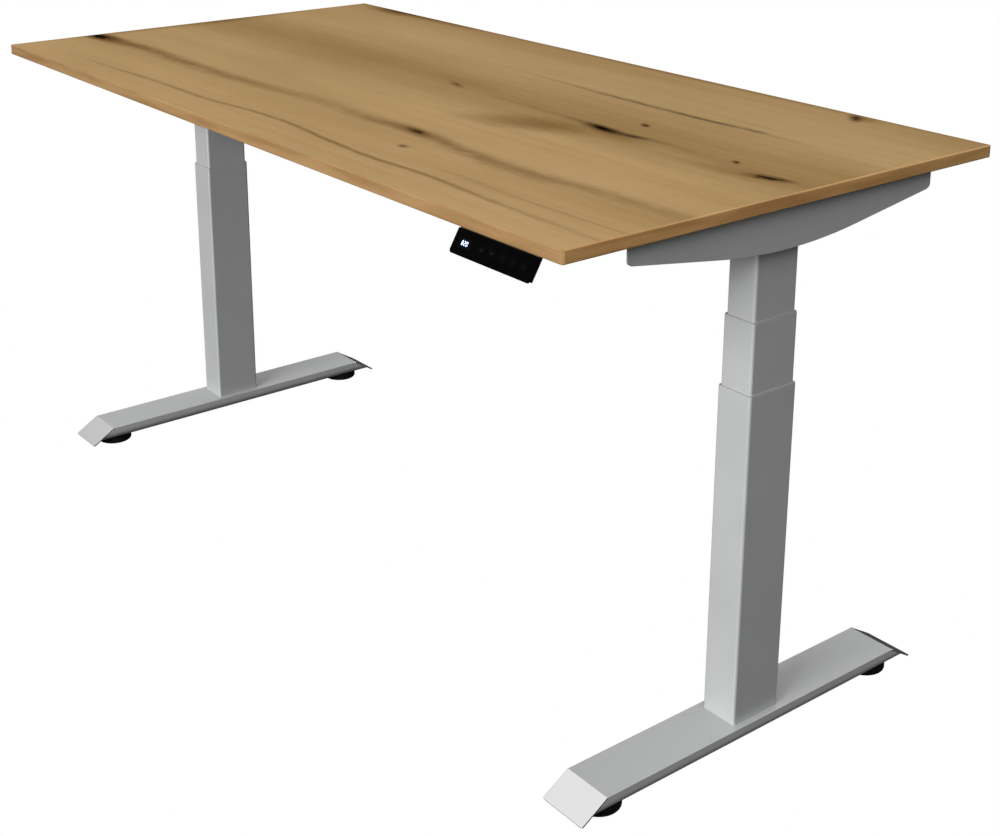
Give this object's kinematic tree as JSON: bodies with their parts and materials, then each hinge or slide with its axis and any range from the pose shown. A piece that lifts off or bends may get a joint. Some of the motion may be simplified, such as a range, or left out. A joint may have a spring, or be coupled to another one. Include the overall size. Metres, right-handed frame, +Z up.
{
  "type": "height adjustable standing desk",
  "caption": "Sit-stand desk: rectangular knotty oak decor top on two silver three-stage lifting columns with flat feet, levelling glides and a black push-button handset.",
  "frame": {"origin": "on the floor, under the middle of the tabletop, midway between the columns", "axes": "+X to the user's right along the tabletop, +Y away from the user to the back edge, +Z up"},
  "size_m": [1.6, 0.817, 0.82],
  "materials": {
    "silver_paint": "silver-grey powder coat, fine grained satin",
    "bright_plate": "smooth bright silver end plate",
    "glide_rubber": "black moulded rubber",
    "zinc_fasteners": "bright zinc plating",
    "bush_plastic": "grey moulded plastic",
    "screw_steel": "rolled and greased steel thread",
    "block_plastic": "light grey glass-filled plastic",
    "drive_aluminium": "drawn hexagonal tube",
    "gearbox_casting": "black painted casting",
    "motor_paint": "black painted motor can",
    "rail_paint": "silver-grey powder coat",
    "oak_decor": "knotty oak decor with long dark grain, satin",
    "oak_edge": "matching oak edge band",
    "black_plastic": "black moulded plastic",
    "cable_jacket": "black cable jacket",
    "gloss_panel": "glossy black panel",
    "gloss_keys": "glossy black keys with dim white symbols",
    "display_window": "dark window with lit digits"
  },
  "bodies": {
    "base": {"foot_beam_left": "silver_paint", "foot_beam_right": "silver_paint", "outer_tube_left": "silver_paint", "outer_tube_right": "silver_paint", "outer_bush_left": "bush_plastic", "outer_bush_right": "bush_plastic", "fixed_screw_left": "screw_steel", "fixed_screw_right": "screw_steel", "end_plate_front_left": "bright_plate", "end_plate_front_right": "bright_plate", "end_plate_rear_left": "bright_plate", "end_plate_rear_right": "bright_plate", "foot_bolts": "zinc_fasteners", "glide_nuts": "zinc_fasteners"},
    "top": {"inner_tube_left": "silver_paint", "inner_tube_right": "silver_paint", "nut_block_left": "block_plastic", "nut_block_right": "block_plastic", "gearbox_left": "gearbox_casting", "gearbox_right": "gearbox_casting", "motor_left": "motor_paint", "motor_right": "motor_paint", "side_bracket_left": "silver_paint", "side_bracket_right": "silver_paint", "rail_front": "rail_paint", "rail_rear": "rail_paint", "frame_bolts": "zinc_fasteners", "tabletop": "oak_decor", "edge_bands": "oak_edge", "board_screws": "zinc_fasteners", "control_box": "black_plastic", "mains_inlet": "black_plastic", "control_cables": "cable_jacket", "cable_clips": "black_plastic", "handset_housing": "black_plastic", "handset_panel": "gloss_panel", "handset_display": "display_window"},
    "middle_left": {"middle_tube_left": "silver_paint", "middle_bush_left": "bush_plastic", "bearing_block_left": "block_plastic", "screw_bearing_left": "screw_steel"},
    "screw_left": {"screw_tube_left": "screw_steel"},
    "drive_left": {"drive_tube_left": "drive_aluminium"},
    "middle_right": {"middle_tube_right": "silver_paint", "middle_bush_right": "bush_plastic", "bearing_block_right": "block_plastic", "screw_bearing_right": "screw_steel"},
    "screw_right": {"screw_tube_right": "screw_steel"},
    "drive_right": {"drive_tube_right": "drive_aluminium"},
    "glide_front_left": {"glide_front_left": "glide_rubber"},
    "glide_front_right": {"glide_front_right": "glide_rubber"},
    "glide_rear_left": {"glide_rear_left": "glide_rubber"},
    "glide_rear_right": {"glide_rear_right": "glide_rubber"},
    "key_up": {"button_up": "gloss_keys"},
    "key_down": {"button_down": "gloss_keys"},
    "key_one": {"button_one": "gloss_keys"},
    "key_two": {"button_two": "gloss_keys"},
    "key_three": {"button_three": "gloss_keys"}
  },
  "joints": [
    {"name": "lift", "type": "slide", "parent": "base", "child": "top", "axis": [0, 0, 1], "range_m": [-0.19, 0.46]},
    {"name": "middle_left_slide", "type": "slide", "parent": "base", "child": "middle_left", "axis": [0, 0, 1], "range_m": [-0.0955, 0.2305]},
    {"name": "middle_right_slide", "type": "slide", "parent": "base", "child": "middle_right", "axis": [0, 0, 1], "range_m": [-0.0955, 0.2305]},
    {"name": "screw_left_turn", "type": "hinge", "parent": "middle_left", "child": "screw_left", "pos_m": [-0.742, 0, 0.4], "axis": [0, 0, 1], "range_deg": [-3430, 8290]},
    {"name": "drive_left_turn", "type": "hinge", "parent": "top", "child": "drive_left", "pos_m": [-0.742, 0, 0.5], "axis": [0, 0, 1], "range_deg": [-3430, 8290]},
    {"name": "screw_right_turn", "type": "hinge", "parent": "middle_right", "child": "screw_right", "pos_m": [0.742, 0, 0.4], "axis": [0, 0, 1], "range_deg": [-3430, 8290]},
    {"name": "drive_right_turn", "type": "hinge", "parent": "top", "child": "drive_right", "pos_m": [0.742, 0, 0.5], "axis": [0, 0, 1], "range_deg": [-3430, 8290]},
    {"name": "glide_front_left_adjust", "type": "slide", "parent": "base", "child": "glide_front_left", "axis": [0, 0, -1], "range_m": [0, 0.01]},
    {"name": "glide_front_right_adjust", "type": "slide", "parent": "base", "child": "glide_front_right", "axis": [0, 0, -1], "range_m": [0, 0.01]},
    {"name": "glide_rear_left_adjust", "type": "slide", "parent": "base", "child": "glide_rear_left", "axis": [0, 0, -1], "range_m": [0, 0.01]},
    {"name": "glide_rear_right_adjust", "type": "slide", "parent": "base", "child": "glide_rear_right", "axis": [0, 0, -1], "range_m": [0, 0.01]},
    {"name": "key_up_press", "type": "slide", "parent": "top", "child": "key_up", "axis": [0, 0.8616, -0.5075], "range_m": [0, 0.0008], "stiffness_N_per_m": 400},
    {"name": "key_down_press", "type": "slide", "parent": "top", "child": "key_down", "axis": [0, 0.8616, -0.5075], "range_m": [0, 0.0008], "stiffness_N_per_m": 400},
    {"name": "key_one_press", "type": "slide", "parent": "top", "child": "key_one", "axis": [0, 0.8616, -0.5075], "range_m": [0, 0.0008], "stiffness_N_per_m": 400},
    {"name": "key_two_press", "type": "slide", "parent": "top", "child": "key_two", "axis": [0, 0.8616, -0.5075], "range_m": [0, 0.0008], "stiffness_N_per_m": 400},
    {"name": "key_three_press", "type": "slide", "parent": "top", "child": "key_three", "axis": [0, 0.8616, -0.5075], "range_m": [0, 0.0008], "stiffness_N_per_m": 400}
  ],
  "couplings": [
    {"joint": "middle_left_slide", "follows": "lift", "ratio": 0.5},
    {"joint": "middle_right_slide", "follows": "lift", "ratio": 0.5},
    {"joint": "screw_left_turn", "follows": "lift", "rad_per_m": 314.16},
    {"joint": "drive_left_turn", "follows": "lift", "rad_per_m": 314.16},
    {"joint": "screw_right_turn", "follows": "lift", "rad_per_m": 314.16},
    {"joint": "drive_right_turn", "follows": "lift", "rad_per_m": 314.16}
  ]
}
